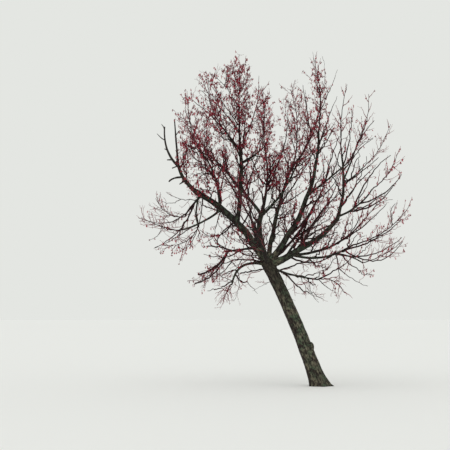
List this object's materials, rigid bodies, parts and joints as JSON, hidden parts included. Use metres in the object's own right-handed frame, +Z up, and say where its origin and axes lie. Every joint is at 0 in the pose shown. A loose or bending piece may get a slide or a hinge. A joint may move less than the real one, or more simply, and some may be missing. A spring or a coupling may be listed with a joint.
{
  "type": "leaning bare winter tree with persistent fruit",
  "caption": "Leaning bare deciduous tree in winter: one tapering trunk, fanning boughs and masses of fine twigs, part of them hung with dark red fruit bunches.",
  "frame": {"origin": "middle of the flat cut under the trunk, at ground level", "axes": "+Z up, the trunk leans towards -X, and the side that the picture shows faces -Y"},
  "size_m": [6.5174, 5.3626, 8.1316],
  "materials": {
    "bark": "rough damp bark with grey-green lichen",
    "dead_wood": "weathered bare wood with bark remains",
    "twigs": "matt dark red-brown twig bark",
    "fruiting_twigs": "matt dark twigs with shrivelled dark red fruit"
  },
  "bodies": {
    "root": {"back_bough": "bark", "back_left_bough": "bark", "back_left_twigs": "fruiting_twigs", "back_right_bough": "bark", "back_right_twigs": "fruiting_twigs", "back_twigs": "fruiting_twigs", "broken_bough": "bark", "broken_twigs": "twigs", "front_bough": "bark", "front_twigs": "fruiting_twigs", "inner_left_bough": "bark", "inner_left_twigs": "fruiting_twigs", "leader_bough": "bark", "leader_left_bough": "bark", "leader_left_twigs": "fruiting_twigs", "leader_right_bough": "bark", "leader_right_twigs": "fruiting_twigs", "leader_twigs": "fruiting_twigs", "left_bough": "bark", "left_dead_bough": "dead_wood", "left_end_bough": "bark", "left_hanging_bough": "bark", "left_hanging_twigs": "fruiting_twigs", "low_back_bough": "bark", "low_back_twigs": "fruiting_twigs", "low_front_bough": "bark", "low_front_twigs": "twigs", "low_left_bough": "bark", "low_left_twigs": "twigs", "low_right_bough": "bark", "low_right_twigs": "twigs", "middle_bough": "bark", "middle_twigs": "fruiting_twigs", "outer_left_bough": "bark", "outer_left_twigs": "fruiting_twigs", "right_arm_bough": "bark", "right_arm_twigs": "fruiting_twigs", "right_bough": "bark", "right_dead_bough": "dead_wood", "right_hanging_bough": "bark", "right_hanging_twigs": "twigs", "right_high_bough": "bark", "right_high_twigs": "twigs", "right_outer_bough": "bark", "right_outer_twigs": "twigs", "right_shoot_bough": "bark", "right_shoot_twigs": "twigs", "right_upper_bough": "bark", "right_upper_twigs": "twigs", "second_upright_bough": "bark", "tall_right_bough": "bark", "tall_right_twigs": "fruiting_twigs", "tall_side_bough": "bark", "tall_side_twigs": "fruiting_twigs", "third_upright_bough": "bark", "third_upright_twigs": "fruiting_twigs", "trunk": "bark", "trunk_side_bough": "bark", "trunk_side_twigs": "twigs"}
  },
  "joints": []
}
